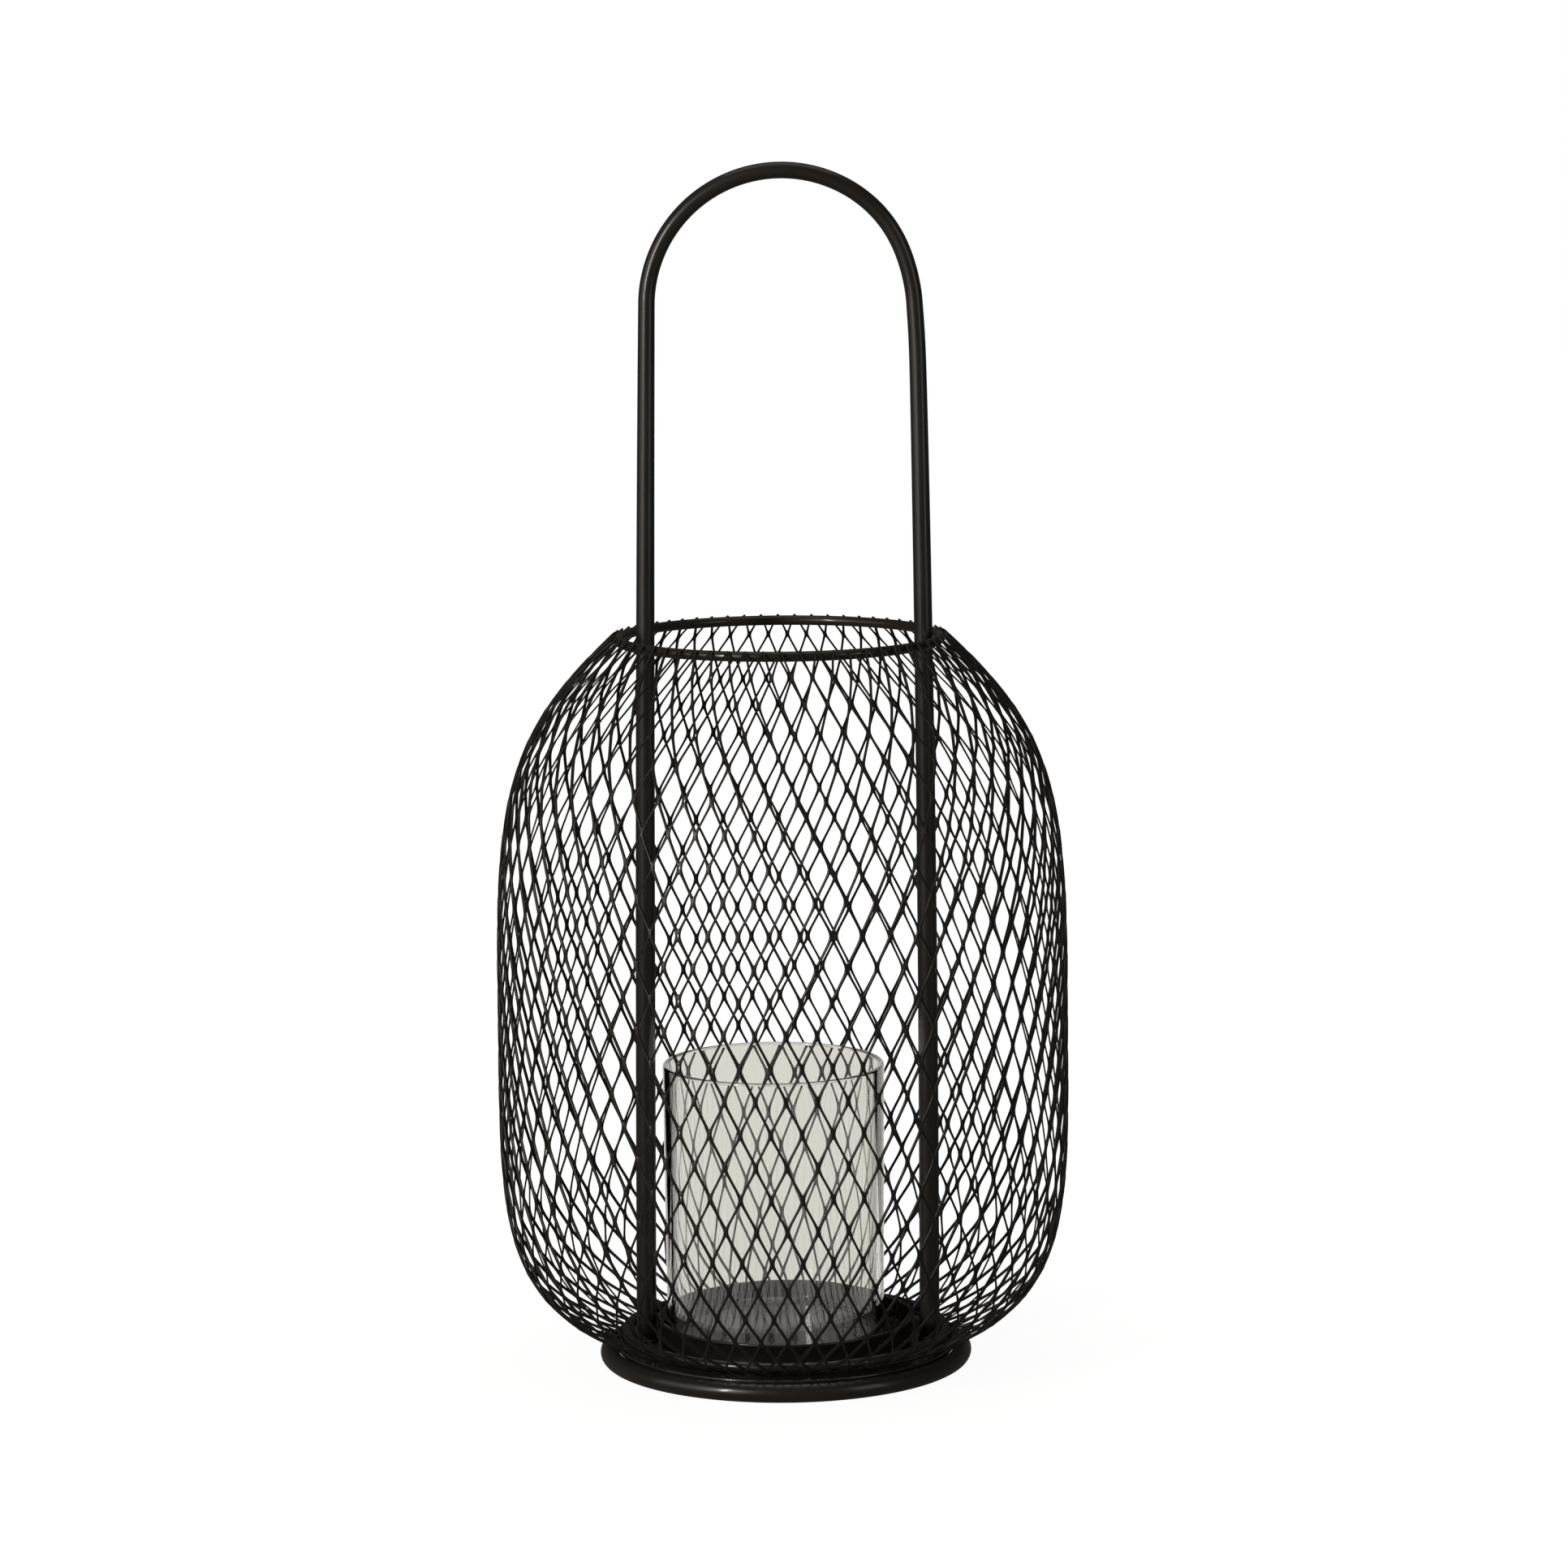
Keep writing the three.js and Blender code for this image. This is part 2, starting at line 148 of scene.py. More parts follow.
# What floor and surroundings look like to each kind of ray: seen by the camera, seen through the glass,
# mirrored in its rim and sides, mirrored in its base, and as light on the object
SEEN = (1.0, 1.0, 1.0)
THROUGH = (0.67, 0.65, 0.60)
EDGE = (1.20, 1.17, 1.10)
BASE = (0.16, 0.155, 0.15)
SURROUND = (0.050, 0.047, 0.043)
# The floor's own grey and reach, and its glow beside the foot, where the contact shadow lies (1 beyond)
FLOOR_GREY = (0.15, 0.15, 0.15)
FLOOR_REACH = 6.0
FLOOR_NEAR = 0.95
SHADOW_START, SHADOW_END = 0.09, 0.30
# Soft boxes: name, place, target, width, height, power
LIGHT_COLOUR = (1.0, 0.95, 0.88)
LIGHTS = (
    ("strip", (-1.24, -1.54, 0.86), (0, 0, 0.45), 0.15, 0.9, 14),
    ("side", (-2.13, -1.49, 0.9), (0, 0, 0.27), 3.4, 1.8, 11),
    ("fill", (1.7, -1.3, 0.8), (0, 0, 0.27), 0.8, 1.4, 3.2),
    ("top", (0, 0.2, 2.2), (0, 0, 0.27), 1.6, 1.6, 4),
)

PANELS = tuple(f"mesh_{part}_{i:02d}" for part in ("upper", "lower") for i in range(1, 13))


# ---------------------------------------------------------------- mesh helpers

def new_object(name, data):
    obj = bpy.data.objects.new(name, data)
    bpy.context.scene.collection.objects.link(obj)
    return obj


def mesh_from(name, verts, faces):
    mesh = bpy.data.meshes.new(name)
    mesh.from_pydata([tuple(v) for v in verts], [], faces)
    mesh.update()
    mesh.shade_smooth()
    return new_object(name, mesh)


def finish_piece(obj, material, slot, body, *nodes):
    """Gives a piece its material and body, and hides the CAD nodes it stands for. The slot is not used."""
    obj.data.materials.clear()
    obj.data.materials.append(material)
    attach(obj, body)
    if nodes:
        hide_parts(*nodes)


def arc(x, y, radius, start, end, steps):
    """Points of an arc in the (radius, height) plane, angles in degrees."""
    turns = (math.radians(start + (end - start) * i / steps) for i in range(steps + 1))
    return [(x + radius * math.cos(t), y + radius * math.sin(t)) for t in turns]


def loft(name, rings, closed=False):
    """Skin over rings of points. A ring of one point closes an end. closed joins last ring and first."""
    verts, index, faces = [], [], []
    for ring in rings:
        index.append(list(range(len(verts), len(verts) + len(ring))))
        verts.extend(ring)
    pairs = list(zip(index, index[1:]))
    if closed:
        pairs.append((index[-1], index[0]))
    for low, high in pairs:
        count = max(len(low), len(high))
        for i in range(count):
            k = (i + 1) % count
            face = [low[i % len(low)], low[k % len(low)], high[k % len(high)], high[i % len(high)]]
            faces.append(list(dict.fromkeys(face)))
    return mesh_from(name, verts, faces)


def turned(name, points, segments=192, closed=False, centre=(0.0, 0.0)):
    """Solid turned about an upright axis. points are (radius, height), anticlockwise round the section."""
    rings = []
    for radius, height in points:
        count = segments if radius > 1e-9 else 1
        turns = [TAU * i / count for i in range(count)]
        rings.append([
            (centre[0] + radius * math.cos(t), centre[1] + radius * math.sin(t), height) for t in turns
        ])
    return loft(name, rings, closed)


def node_ring(node):
    """(radius, height, rod radius) of a ring node's centre line."""
    low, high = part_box(node)
    rod = (high[2] - low[2]) / 2
    return (high[0] - low[0]) / 2 - rod, (high[2] + low[2]) / 2, rod


def ring_piece(name, radius, height, rod, sides=24, segments=256):
    return turned(name, arc(radius, height, rod, 0, 360, sides)[:-1], segments, closed=True)


# ---------------------------------------------------------------- materials

class Nodes:
    """Short hand for building a material's node tree."""

    def __init__(self, name):
        self.material = bpy.data.materials.new(name)
        self.material.use_nodes = True
        self.tree = self.material.node_tree
        self.shader = self.tree.nodes["Principled BSDF"]
        self.coords = self.tree.nodes.new("ShaderNodeTexCoord")

    def add(self, kind, inputs=(), **settings):
        node = self.tree.nodes.new(kind)
        for key, value in settings.items():
            setattr(node, key, value)
        for key, value in dict(inputs).items():
            self.put(node.inputs[key], value)
        return node

    def put(self, socket, value):
        if isinstance(value, bpy.types.NodeSocket):
            self.tree.links.new(value, socket)
        else:
            socket.default_value = value

    def noise(self, scale, detail, stretch=(1, 1, 1), distortion=0.0):
        mapping = self.add("ShaderNodeMapping", {
            "Vector": self.coords.outputs["Object"], "Scale": stretch,
        })
        return self.add("ShaderNodeTexNoise", {
            "Vector": mapping.outputs[0], "Scale": scale, "Detail": detail, "Distortion": distortion,
        }).outputs["Fac"]

    def ramp(self, value, low, high, out_low, out_high):
        return self.add("ShaderNodeMapRange", {
            "Value": value, "From Min": low, "From Max": high, "To Min": out_low, "To Max": out_high,
        }).outputs[0]

    def colour(self, value, stops):
        node = self.add("ShaderNodeValToRGB", {"Fac": value})
        ramp = node.color_ramp
        while len(ramp.elements) < len(stops):
            ramp.elements.new(0.5)
        for element, (place, shade) in zip(ramp.elements, stops):
            element.position = place
            element.color = (*shade, 1)
        return node.outputs[0]

    def bump(self, height, distance, strength, normal=None):
        inputs = {"Height": height, "Distance": distance, "Strength": strength}
        if normal is not None:
            inputs["Normal"] = normal
        return self.add("ShaderNodeBump", inputs).outputs[0]


def slot_colour(slot):
    for entry in frame["record"]["materials"]:
        if entry["slot"] == slot:
            return entry["base_color"][:3]
    raise KeyError(slot)


def shade(colour, factor):
    return tuple(min(1.0, c * factor) for c in colour)


def paint_material(name, roughness=0.36, grain=0.007 * MM, lightness=0.72, coat=0.5):
    """Satin black powder coat: orange peel, a fine grain and thin places that catch more light."""
    n = Nodes(name)
    base = shade(slot_colour("black_paint"), lightness)
    broad = n.noise(28, 4)
    peel = n.noise(620, 2)
    fine = n.noise(2600, 2)
    n.put(n.shader.inputs["Base Color"], n.colour(broad, (
        (0.30, shade(base, 0.82)), (0.55, base), (0.78, shade(base, 1.25)),
    )))
    n.put(n.shader.inputs["Roughness"], n.ramp(broad, 0.3, 0.7, roughness - 0.05, roughness + 0.06))
    first = n.bump(peel, grain, 0.8)
    n.put(n.shader.inputs["Normal"], n.bump(fine, grain / 4, 0.6, first))
    n.shader.inputs["Metallic"].default_value = 0.0
    n.shader.inputs["IOR"].default_value = 1.5
    n.shader.inputs["Coat Weight"].default_value = coat
    n.shader.inputs["Coat Roughness"].default_value = 0.11
    return n.material


def pan_material(name):
    """Paint over the drawing marks of the press: fine, upright on the wall and radial on the floor."""
    n = Nodes(name)
    base = slot_colour("black_paint")
    place = n.add("ShaderNodeSeparateXYZ", {0: n.coords.outputs["Object"]})
    turn = n.add("ShaderNodeMath", {0: place.outputs["Y"], 1: place.outputs["X"]}, operation="ARCTAN2")
    marks = n.add(
        "ShaderNodeTexNoise", {"W": turn.outputs[0], "Scale": 46, "Detail": 3}, noise_dimensions="1D",
    ).outputs["Fac"]
    n.put(n.shader.inputs["Base Color"], n.colour(marks, (
        (0.35, shade(base, 0.4)), (0.65, shade(base, 0.9)),
    )))
    n.put(n.shader.inputs["Roughness"], n.ramp(marks, 0.3, 0.7, 0.20, 0.36))
    n.put(n.shader.inputs["Normal"], n.bump(marks, 0.07 * MM, 0.5))
    return n.material


def weld_material(name):
    """The same paint over a rippled weld, its base colour lighter than the coat's elsewhere as a painted
    highlight; the ripple's spread of tone is the weld's own.
    """
    n = Nodes(name)
    base = slot_colour("black_paint")
    ripple = n.noise(900, 3, distortion=0.6)
    # Base colour 0.9 to 1.4 times the paint's, where the coat elsewhere has 0.72: a painted highlight along
    # the welds.
    n.put(n.shader.inputs["Base Color"], n.colour(ripple, (
        (0.35, shade(base, 0.9)), (0.7, shade(base, 1.4)),
    )))
    n.put(n.shader.inputs["Normal"], n.bump(ripple, 0.03 * MM, 0.9))
    n.put(n.shader.inputs["Roughness"], n.ramp(ripple, 0.3, 0.7, 0.22, 0.30))
    n.shader.inputs["Coat Weight"].default_value = 1.0
    n.shader.inputs["Coat Roughness"].default_value = 0.10
    return n.material


def zinc_material(name):
    """Zinc-plated steel with turning marks."""
    n = Nodes(name)
    base = slot_colour("zinc_steel")
    marks = n.noise(380, 3, stretch=(1, 1, 14))
    n.put(n.shader.inputs["Base Color"], n.colour(marks, (
        (0.3, shade(base, 0.85)), (0.7, shade(base, 1.1)),
    )))
    n.put(n.shader.inputs["Roughness"], n.ramp(marks, 0.3, 0.7, 0.26, 0.40))
    n.put(n.shader.inputs["Normal"], n.bump(marks, 0.02 * MM, 0.5))
    n.shader.inputs["Metallic"].default_value = 1.0
    return n.material


def glass_material(name):
    """Clear pressed glass with the faint waviness of its mould."""
    n = Nodes(name)
    wave = n.noise(9, 1, stretch=(1, 1, 0.35))
    seeds = n.noise(46, 1)
    n.put(n.shader.inputs["Normal"], n.bump(seeds, 0.02 * MM, 0.5, n.bump(wave, 0.25 * MM, 0.6)))
    n.put(n.shader.inputs["Base Color"], n.colour(wave, (
        (0.2, (0.975, 0.972, 0.960)), (0.8, (0.990, 0.988, 0.980)),
    )))
    n.shader.inputs["Roughness"].default_value = 0.0
    n.shader.inputs["Transmission Weight"].default_value = 1.0
    n.shader.inputs["IOR"].default_value = 1.50
    return n.material


# ---------------------------------------------------------------- basket

def bezier(a, b, c, d, steps):
    t = np.linspace(0, 1, steps)[:, None]
    a, b, c, d = (np.array(p) for p in (a, b, c, d))
    return (1 - t) ** 3 * a + 3 * (1 - t) ** 2 * t * b + 3 * (1 - t) * t * t * c + t ** 3 * d


class Outline:
    """Outline of the sheet's outer face in the (radius, height) plane, by length from the top edge."""

    def __init__(self):
        boxes = [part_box(node) for node in PANELS]
        belly = (max(high[0] for _, high in boxes) - SKIN_MARGIN, BELLY_HEIGHT)
        top = (EDGE_RADIUS, max(high[2] for _, high in boxes))
        bottom = (EDGE_RADIUS, min(low[2] for low, _ in boxes))
        upper = bezier(
            top,
            (top[0] + TOP_REACH * math.cos(TOP_SLOPE), top[1] - TOP_REACH * math.sin(TOP_SLOPE)),
            (belly[0], belly[1] + BELLY_REACH_UP),
            belly, OUTLINE_STEPS,
        )
        lower = bezier(
            belly,
            (belly[0], belly[1] - BELLY_REACH_DOWN),
            (
                bottom[0] + BOTTOM_REACH * math.cos(BOTTOM_SLOPE),
                bottom[1] + BOTTOM_REACH * math.sin(BOTTOM_SLOPE),
            ),
            bottom, OUTLINE_STEPS,
        )
        self.points = np.vstack([upper, lower[1:]])
        steps = np.linalg.norm(np.diff(self.points, axis=0), axis=1)
        self.along = np.concatenate([[0], np.cumsum(steps)])
        self.length = self.along[-1]
        tangents = np.gradient(self.points, self.along, axis=0)
        self.tangents = tangents / np.linalg.norm(tangents, axis=1)[:, None]

    def at(self, along):
        """(radius, height, tangent radius, tangent height) at a length."""
        return tuple(
            float(np.interp(along, self.along, column))
            for column in (*self.points.T, *self.tangents.T)
        )

    def place(self, along, turn, depth):
        radius, height, run, rise = self.at(along)
        radius, height = radius + rise * depth, height - run * depth
        return radius * math.sin(turn), -radius * math.cos(turn), height


def row_along(outline, row):
    rows, drifts = zip(*ROW_DRIFT)
    return outline.length * row / HALF_ROWS + float(np.interp(row, rows, drifts)) * MM


def basket_sheet(outline):
    """The whole sheet: knots joined by flat strands, with open eyes in the knots along its seam."""
    rng = random.Random(7)
    outer, inner, faces, rims = [], [], [], []
    belly = outline.points[:, 0].max()

    def add(along, turn, radius, across, down, raised):
        """A point of both faces, across and down from a knot's centre. raised is towards the outside."""
        depth = SHEET_RAISE * (1 - raised)
        place = min(max(along + down, 0), outline.length)
        outer.append(outline.place(place, turn + across / radius, depth))
        inner.append(outline.place(place, turn + across / radius, depth + SHEET_THICKNESS))
        return len(outer) - 1

    def knot(row, column):
        along = row_along(outline, row)
        if 0 < row < HALF_ROWS:
            along += rng.uniform(-1, 1) * SHEET_JITTER
        radius = outline.at(along)[0]
        turn = SEAM_TURN + TAU * (column + (0 if row % 2 else 0.5)) / CELLS
        turn += rng.uniform(-1, 1) * SHEET_JITTER / radius
        size = 1 - END_NARROWING * (belly - radius) / (belly - EDGE_RADIUS)
        eye = column == 0 and row % 2 == 1 and row < HALF_ROWS
        width, height = KNOT_HALF_WIDTH * size, KNOT_HALF_HEIGHT
        if eye:
            width, height = width * EYE_SCALE, height * EYE_SCALE
        point = {
            "N": add(along, turn, radius, 0, -height if row else 0, -1),
            "E": add(along, turn, radius, width, 0, 0),
            "S": add(along, turn, radius, 0, height if row < HALF_ROWS else 0, 1),
            "W": add(along, turn, radius, -width, 0, 0),
        }
        if eye:
            point["eye"] = [
                add(along, turn, radius, 0, -EYE_HALF_HEIGHT, 0),
                add(along, turn, radius, EYE_HALF_WIDTH, 0, 0),
                add(along, turn, radius, 0, EYE_HALF_HEIGHT, 0),
                add(along, turn, radius, -EYE_HALF_WIDTH, 0, 0),
            ]
        near, half = STRAND_OFFSET * size, STRAND_HALF_WIDTH * size
        for side, sign in (("E", 1), ("W", -1)):
            if row < HALF_ROWS:
                point["low " + side] = (
                    add(along, turn, radius, sign * (near + half), NECK_HEIGHT, -1),
                    add(along, turn, radius, sign * (near - half), NECK_HEIGHT, 1),
                )
            if row:
                point["high " + side] = (
                    add(along, turn, radius, sign * (near - half), -NECK_HEIGHT, -1),
                    add(along, turn, radius, sign * (near + half), -NECK_HEIGHT, 1),
                )
        return point

    patches = []
    rows = [[knot(row, column) for column in range(CELLS)] for row in range(HALF_ROWS + 1)]
    for row, knots in enumerate(rows):
        for column, here in enumerate(knots):
            # The knot itself, cut in half along the sheet's top and bottom edges
            if row == 0:
                patches.append([here["W"], here["S"], here["E"]])
                rims.append((here["E"], here["W"]))
            elif row == HALF_ROWS:
                patches.append([here["W"], here["E"], here["N"]])
                rims.append((here["W"], here["E"]))
            elif "eye" in here:
                n, e, s, w = here["eye"]
                patches.append([here["N"], here["W"], w, n])
                patches.append([here["W"], here["S"], s, w])
                patches.append([here["S"], here["E"], e, s])
                patches.append([here["E"], here["N"], n, e])
                rims += [(n, e), (e, s), (s, w), (w, n)]
            else:
                patches.append([here["N"], here["W"], here["S"], here["E"]])
            if row == HALF_ROWS:
                continue
            # Its two strands down to the next row
            shift = 0 if row % 2 else 1
            right = rows[row + 1][(column + shift) % CELLS]
            left = rows[row + 1][(column + shift - 1) % CELLS]
            upper, lower = here["low E"]
            far_upper, far_lower = right["high W"]
            patches.append([here["E"], here["S"], lower, upper])
            patches.append([upper, lower, far_lower, far_upper])
            patches.append([far_upper, far_lower, right["W"], right["N"]])
            rims += [(here["S"], lower), (lower, far_lower), (far_lower, right["W"])]
            rims += [(right["N"], far_upper), (far_upper, upper), (upper, here["E"])]
            upper, lower = here["low W"]
            far_upper, far_lower = left["high E"]
            patches.append([here["S"], here["W"], upper, lower])
            patches.append([lower, upper, far_upper, far_lower])
            patches.append([far_lower, far_upper, left["N"], left["E"]])
            rims += [(here["W"], upper), (upper, far_upper), (far_upper, left["N"])]
            rims += [(left["E"], far_lower), (far_lower, lower), (lower, here["S"])]

    count = len(outer)
    for patch in patches:
        faces.append(patch)
        faces.append([i + count for i in reversed(patch)])
    sharp = set()
    for a, b in rims:
        faces.append([a, a + count, b + count, b])
        sharp.add((min(a, b), max(a, b)))
        sharp.add((min(a, b) + count, max(a, b) + count))
    obj = mesh_from("basket_sheet", outer + inner, faces)
    crease = obj.data.attributes.new("crease_edge", "FLOAT", "EDGE")
    for edge in obj.data.edges:
        if tuple(sorted(edge.vertices)) in sharp:
            crease.data[edge.index].value = RIM_CREASE
    smooth = obj.modifiers.new("round", "SUBSURF")
    smooth.levels = smooth.render_levels = 1
    return obj


def tube(name, path, radii, sides, bore, up):
    """Open tube along a path of points. bore is the share of the radius that is hollow."""
    rings = []
    for i, point in enumerate(path):
        along = (path[min(i + 1, len(path) - 1)] - path[max(i - 1, 0)]).normalized()
        side = along.cross(up).normalized()
        other = side.cross(along).normalized()
        turns = [TAU * k / sides for k in range(sides)]
        rings.append([(side * math.cos(t) + other * math.sin(t), point, radii[i]) for t in turns])

    def skin(share):
        return [[point + arm * radius * share for arm, point, radius in ring] for ring in rings]

    return loft(name, [*skin(1), *reversed(skin(bore))], closed=True)


# ---------------------------------------------------------------- bail

def bail_path():
    """Centre line and radii of the bail, from the left leg's foot over the crown to the right leg's."""
    low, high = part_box("bail")
    foot = low[2]
    crown = high[2] - BAIL_TOP_RADIUS - CROWN_RADIUS

    def dip(z):
        """How far the right shoulder is pressed in at a height."""
        return SHOULDER_DIP * math.exp(-((z - SHOULDER_HEIGHT) / SHOULDER_SPREAD) ** 2)

    def leg(bow, side):
        """One leg from its foot up to the crown, bowed outwards, with its radius swelling downwards."""
        points = []
        for i in range(LEG_STEPS + 1):
            t = i / LEG_STEPS
            x = (1 - t) ** 2 * LEG_FOOT + 2 * t * (1 - t) * bow[0] + t * t * CROWN_RADIUS
            z = (1 - t) ** 2 * foot + 2 * t * (1 - t) * bow[1] + t * t * crown
            growth = (BAIL_FOOT_RADIUS - BAIL_TOP_RADIUS) * (1 - ((z - foot) / (crown - foot)) ** 2)
            points.append((x - dip(z) if side > 0 else -x, z, BAIL_TOP_RADIUS + growth))
        return points

    top = []
    for i in range(1, CROWN_STEPS):
        turn = math.pi * i / CROWN_STEPS
        x, z = CROWN_RADIUS * math.cos(turn), crown + CROWN_RADIUS * math.sin(turn)
        top.append((x - dip(z) if turn < math.pi / 2 else x, z, BAIL_TOP_RADIUS))
    path = [*leg(LEFT_BOW, -1), *reversed(top), *reversed(leg(RIGHT_BOW, 1))]
    lean = Matrix.Rotation(BAIL_LEAN, 3, "Y")
    points = [lean @ Vector((x, 0, z)) + Vector((BAIL_SHIFT, 0, 0)) for x, z, _ in path]
    return points, [r for _, _, r in path]


# ---------------------------------------------------------------- pieces

def foot_tacks(places):
    """Drops of weld, each a slightly uneven dome. A place is a point and the seam's direction there."""
    rng = random.Random(3)
    verts, faces = [], []
    rows, columns = 6, 14
    for centre, along in places:
        first = len(verts)
        stretch = rng.uniform(0.85, 1.25)
        ahead, side = Vector((*along, 0)), Vector((-along[1], along[0], 0))
        for i in range(rows + 1):
            polar = math.pi * i / rows
            for k in range(columns):
                turn = TAU * k / columns
                reach = TACK_SIZE * (1 + 0.10 * math.sin(3 * turn + rng.uniform(0, 0.6))) * math.sin(polar)
                x = 1.6 * stretch * reach * math.cos(turn)
                y = reach * math.sin(turn)
                z = 0.8 * TACK_SIZE * math.cos(polar)
                verts.append(centre + ahead * x + side * y + Vector((0, 0, z)))
        for i in range(rows):
            for k in range(columns):
                m = (k + 1) % columns
                a, b = first + i * columns, first + (i + 1) * columns
                faces.append([a + k, b + k, b + m, a + m])
    obj = mesh_from("foot_tacks", verts, faces)
    weld_points(obj)
    return obj


def weld_points(obj):
    """Joins points that lie on each other, so every closed skin is one body."""
    shell = bmesh.new()
    shell.from_mesh(obj.data)
    bmesh.ops.remove_doubles(shell, verts=shell.verts, dist=1e-6)
    bmesh.ops.dissolve_degenerate(shell, edges=shell.edges, dist=1e-7)
    bmesh.ops.recalc_face_normals(shell, faces=shell.faces)
    shell.to_mesh(obj.data)
    shell.free()
    obj.data.shade_smooth()


def round_place(radius, azimuth, height):
    turn = math.radians(azimuth)
    return Vector((radius * math.sin(turn), -radius * math.cos(turn), height))


def round_tangent(azimuth):
    turn = math.radians(azimuth)
    return math.cos(turn), math.sin(turn)


def base_disc():
    """The plate let into the foot ring's shoulder, with its two screw holes and a broken edge."""
    low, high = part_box("base_plate")
    radius, thickness = high[0] + PLATE_OVERLAP, high[2] - low[2]
    data = bpy.data.curves.new("base_disc_outline", "CURVE")
    data.dimensions = "2D"
    data.fill_mode = "BOTH"
    data.extrude = thickness / 2 - PLATE_EDGE
    data.bevel_depth = PLATE_EDGE
    data.bevel_resolution = 2
    holes = [
        (sum(corner[0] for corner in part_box(f"leg_screw_{side}")) / 2, SCREW_HOLE + PLATE_EDGE, 40)
        for side in ("left", "right")
    ]
    for x, size, count in [(0, radius - PLATE_EDGE, 256), *holes]:
        spline = data.splines.new("POLY")
        spline.points.add(count - 1)
        spline.use_cyclic_u = True
        for i, point in enumerate(spline.points):
            point.co = (x + size * math.cos(TAU * i / count), size * math.sin(TAU * i / count), 0, 1)
    temporary = new_object("base_disc_outline", data)
    graph = bpy.context.evaluated_depsgraph_get()
    mesh = bpy.data.meshes.new_from_object(temporary.evaluated_get(graph))
    bpy.data.objects.remove(temporary)
    mesh.transform(Matrix.Translation((0, 0, (low[2] + high[2]) / 2)))
    obj = new_object("base_disc", mesh)
    weld_points(obj)
    mesh.shade_flat()
    return obj


def pan():
    """The pressed dish with its rolled rim, and the radius of the middle of its wall."""
    low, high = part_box("candle_pan")
    wall = high[0] - PAN_BEAD
    turn_in, turn_up = wall - PAN_CORNER, low[2] + PAN_CORNER
    profile = [
        (0, low[2]),
        *arc(turn_in, turn_up, PAN_CORNER, -90, 0, 8),
        *arc(wall, high[2] - PAN_BEAD, PAN_BEAD, -60, 180, 14),
        *arc(turn_in, turn_up, PAN_CORNER - PAN_SHEET, 0, -90, 8),
        (0, low[2] + PAN_SHEET),
    ]
    return turned("pan", profile, 256), wall - PAN_SHEET / 2


def glass():
    """The cylinder: a thick base, a wall that widens slightly upwards and a fire-polished rim."""
    low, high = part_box("glass_cylinder")
    centre = ((low[0] + high[0]) / 2, (low[1] + high[1]) / 2)
    radius = (high[0] - low[0]) / 2
    foot = radius - GLASS_TAPER
    rim = GLASS_WALL / 2
    inside = low[2] + GLASS_BASE
    profile = [
        (0, low[2]),
        (foot * 0.6, low[2]),
        *arc(foot - GLASS_TOE, low[2] + GLASS_TOE, GLASS_TOE, -90, 0, 8),
        *arc(radius - rim, high[2] - rim, rim, 0, 180, 12),
        *arc(foot - GLASS_WALL - GLASS_HOLLOW, inside + GLASS_HOLLOW, GLASS_HOLLOW, 0, -90, 8),
        (foot * 0.5, inside),
        (0, inside),
    ]
    return turned("glass_chimney", profile, 256, centre=centre)


def screw(side):
    """Button-head socket screw under the plate, pointing up into the leg."""
    low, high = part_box(f"leg_screw_{side}")
    x, y = (low[0] + high[0]) / 2, (low[1] + high[1]) / 2
    under, socket_floor = low[2] + HEAD_HEIGHT, low[2] + SOCKET_DEPTH
    turns = [TAU * i / SCREW_SIDES for i in range(SCREW_SIDES)]
    sixth = math.pi / 3

    def ring(radius, z):
        return [(x + radius * math.cos(t), y + radius * math.sin(t), z) for t in turns]

    def hexagon(radius, z):
        reaches = [radius * math.cos(sixth / 2) / math.cos(t % sixth - sixth / 2) for t in turns]
        return [(x + r * math.cos(t), y + r * math.sin(t), z) for r, t in zip(reaches, turns)]

    dome = arc(HEAD_RADIUS - HEAD_ROUND, low[2] + HEAD_ROUND, HEAD_ROUND, -90, 0, 6)
    return loft(f"socket_screw_{side}", [
        [(x, y, socket_floor)],
        hexagon(SOCKET_RADIUS, socket_floor),
        hexagon(SOCKET_RADIUS, low[2] + 0.05 * MM),
        hexagon(SOCKET_RADIUS * 1.06, low[2]),
        *[ring(r, z) for r, z in dome],
        ring(HEAD_RADIUS, under - 0.1 * MM),
        ring(HEAD_RADIUS - 0.1 * MM, under),
        ring(SHANK_RADIUS, under),
        ring(SHANK_RADIUS, high[2] - 0.6 * MM),
        ring(SHANK_RADIUS * 0.6, high[2]),
        [(x, y, high[2])],
    ])


def washer(side):
    low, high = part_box(f"leg_washer_{side}")
    centre = ((low[0] + high[0]) / 2, (low[1] + high[1]) / 2)
    outer, bore = (high[0] - low[0]) / 2 - WASHER_EDGE, WASHER_BORE + WASHER_EDGE
    top, bottom = high[2] - WASHER_EDGE, low[2] + WASHER_EDGE
    section = [
        *arc(outer, top, WASHER_EDGE, 0, 90, 3),
        *arc(bore, top, WASHER_EDGE, 90, 180, 3),
        *arc(bore, bottom, WASHER_EDGE, 180, 270, 3),
        *arc(outer, bottom, WASHER_EDGE, 270, 360, 3),
    ]
    return turned(f"washer_{side}", section, 64, closed=True, centre=centre)


# ---------------------------------------------------------------- assembly

paint = paint_material("black_powder_coat")
# The mesh's coat is the same black paint made darker (lightness 0.45 against 0.72) as painted shade on the
# strands; its roughness and thin coat are the mesh's own.
wire_paint_with_painted_shade = paint_material("black_powder_coat_mesh_painted_shade", roughness=0.42, lightness=0.45, coat=0.1)
pan_paint = pan_material("black_powder_coat_pan")
weld = weld_material("weld_paint_with_painted_highlight")
zinc = zinc_material("zinc_plate")
clear = glass_material("clear_glass")

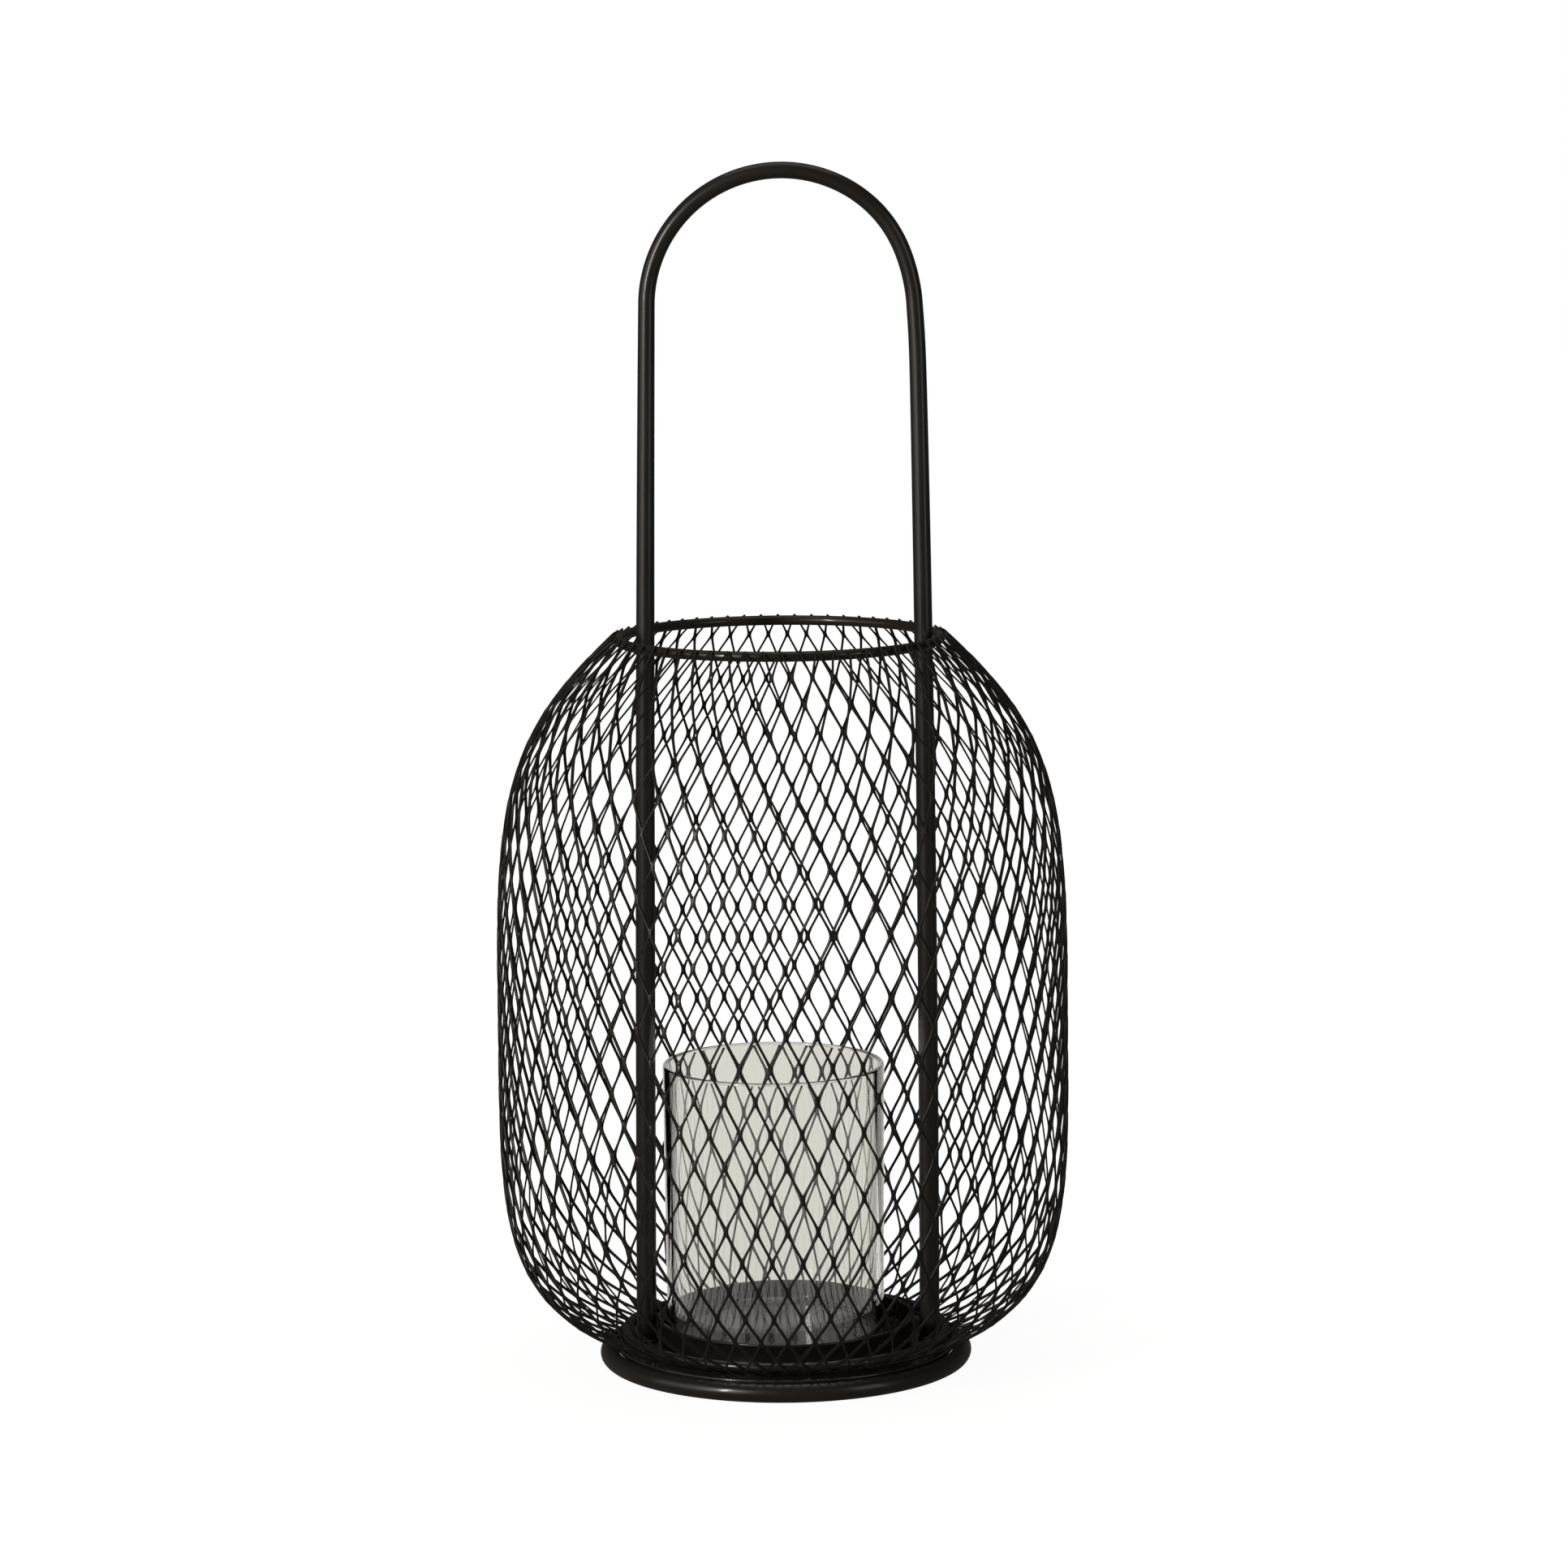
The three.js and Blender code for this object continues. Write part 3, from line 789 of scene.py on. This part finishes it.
outline = Outline()
finish_piece(basket_sheet(outline), wire_paint_with_painted_shade, "black_paint", "lantern", *PANELS)

for name, node, sides in (
    ("top_hoop", "top_ring", 24),
    ("lower_hoop", "lower_ring", 24),
    ("foot_tube", "foot_ring", 32),
):
    finish_piece(ring_piece(name, *node_ring(node), sides), paint, "black_paint", "lantern", node)
finish_piece(base_disc(), paint, "black_paint", "lantern", "base_plate")

# The dish shows the marks of the press inside only
dish, dish_middle = pan()
finish_piece(dish, pan_paint, "black_paint", "lantern", "candle_pan")
dish.data.materials.append(paint)
for face in dish.data.polygons:
    outside = math.hypot(face.center.x, face.center.y) > dish_middle or face.normal.z < -0.1
    face.material_index = 1 if outside else 0

path, radii = bail_path()
finish_piece(
    tube("bail_tube", path, radii, BAIL_SIDES, BAIL_BORE_SHARE, Vector((0, 1, 0))),
    paint, "black_paint", "lantern", "bail",
)

# Welds: the seam round the plate, its tacks, and a collar round each leg where it meets the plate
plate_radius, _, seam_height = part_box("base_plate")[1]
seam = ring_piece("plate_seam_weld", plate_radius + SEAM_OFFSET, seam_height, SEAM_ROD, 16, 300)
finish_piece(seam, weld, "black_paint", "lantern")
tacks = [
    (round_place(plate_radius - TACK_INSET, azimuth, seam_height + TACK_RISE), round_tangent(azimuth))
    for azimuth in TACK_AZIMUTHS
]
finish_piece(foot_tacks(tacks), weld, "black_paint", "lantern")
for side, foot in (("left", path[0]), ("right", path[-1])):
    section = arc(BAIL_FOOT_RADIUS + COLLAR_GAP, seam_height + COLLAR_RISE, COLLAR_ROD, 0, 360, 12)[:-1]
    collar = turned(f"leg_weld_{side}", section, 64, closed=True, centre=(foot.x, foot.y))
    finish_piece(collar, weld, "black_paint", "lantern")

for side in ("left", "right"):
    finish_piece(screw(side), zinc, "zinc_steel", "lantern", f"leg_screw_{side}")
    finish_piece(washer(side), zinc, "zinc_steel", "lantern", f"leg_washer_{side}")
    insert = frame["nodes"][f"leg_insert_{side}"]
    for material_slot in insert.material_slots:
        material_slot.material = zinc

finish_piece(glass(), clear, "clear_glass", "glass", "glass_cylinder")


# ---------------------------------------------------------------- stage

def area_light(name, place, target, width, height, power):
    data = bpy.data.lights.new(name, "AREA")
    data.shape = "RECTANGLE"
    data.size, data.size_y = width, height
    data.energy = power
    data.color = LIGHT_COLOUR
    light = new_object(name, data)
    light.location = place
    aim = Vector(target) - Vector(place)
    light.rotation_euler = aim.to_track_quat("-Z", "Y").to_euler()


def ray_colour(tree):
    """Colour of floor or surroundings by kind of ray, so that the black object stands before pure white."""
    rays = tree.nodes.new("ShaderNodeLightPath").outputs

    def compare(operation, value, limit):
        node = tree.nodes.new("ShaderNodeMath")
        node.operation = operation
        tree.links.new(value, node.inputs[0])
        node.inputs[1].default_value = limit
        return node.outputs[0]

    def mix(share, first, second):
        node = tree.nodes.new("ShaderNodeMix")
        node.data_type = "RGBA"
        tree.links.new(share, node.inputs[0])
        for socket, value in ((node.inputs[6], first), (node.inputs[7], second)):
            if isinstance(value, bpy.types.NodeSocket):
                tree.links.new(value, socket)
            else:
                socket.default_value = (*value, 1)
        return node.outputs[2]

    reflected = compare("GREATER_THAN", rays["Glossy Depth"], 0.5)
    far_inside = compare("GREATER_THAN", rays["Transmission Depth"], 3.5)
    undimmed = compare("LESS_THAN", rays["Diffuse Depth"], 0.5)
    glassy = mix(reflected, THROUGH, mix(far_inside, EDGE, BASE))
    sharp = mix(rays["Is Singular Ray"], SURROUND, glassy)
    return mix(rays["Is Camera Ray"], mix(undimmed, SURROUND, sharp), SEEN)


def floor():
    corners = [(x * FLOOR_REACH, y * FLOOR_REACH, 0) for x, y in ((-1, -1), (1, -1), (1, 1), (-1, 1))]
    obj = mesh_from("floor", corners, [[0, 1, 2, 3]])
    n = Nodes("pale_floor")
    n.shader.inputs["Base Color"].default_value = (*FLOOR_GREY, 1)
    n.shader.inputs["Roughness"].default_value = 0.7
    n.shader.inputs["Specular IOR Level"].default_value = 0.0
    middle = n.add("ShaderNodeVectorMath", {0: n.coords.outputs["Object"]}, operation="LENGTH")
    near = n.ramp(middle.outputs["Value"], SHADOW_START, SHADOW_END, FLOOR_NEAR, 1.0)
    n.put(n.shader.inputs["Emission Color"], ray_colour(n.tree))
    n.put(n.shader.inputs["Emission Strength"], near)
    obj.data.materials.append(n.material)
    return obj


ground = floor()

world = bpy.data.worlds.new("studio")
bpy.context.scene.world = world
world.use_nodes = True
tree = world.node_tree
background = tree.nodes["Background"]
tree.links.new(ray_colour(tree), background.inputs["Color"])

for light in LIGHTS:
    area_light(*light)

data = bpy.data.cameras.new("camera")
data.sensor_width = SENSOR_WIDTH
data.lens = CAMERA_LENS
data.clip_end = VIEW_DEPTH
camera = new_object("camera", data)
camera.matrix_world = (
    Matrix.Translation(CAMERA_PLACE)
    @ Matrix.Rotation(math.pi / 2 - CAMERA_PITCH, 4, "X")
    @ Matrix.Rotation(CAMERA_ROLL, 4, "Z")
)
scene = bpy.context.scene
scene.camera = camera
scene.view_settings.view_transform = "Standard"
scene.view_settings.look = "None"
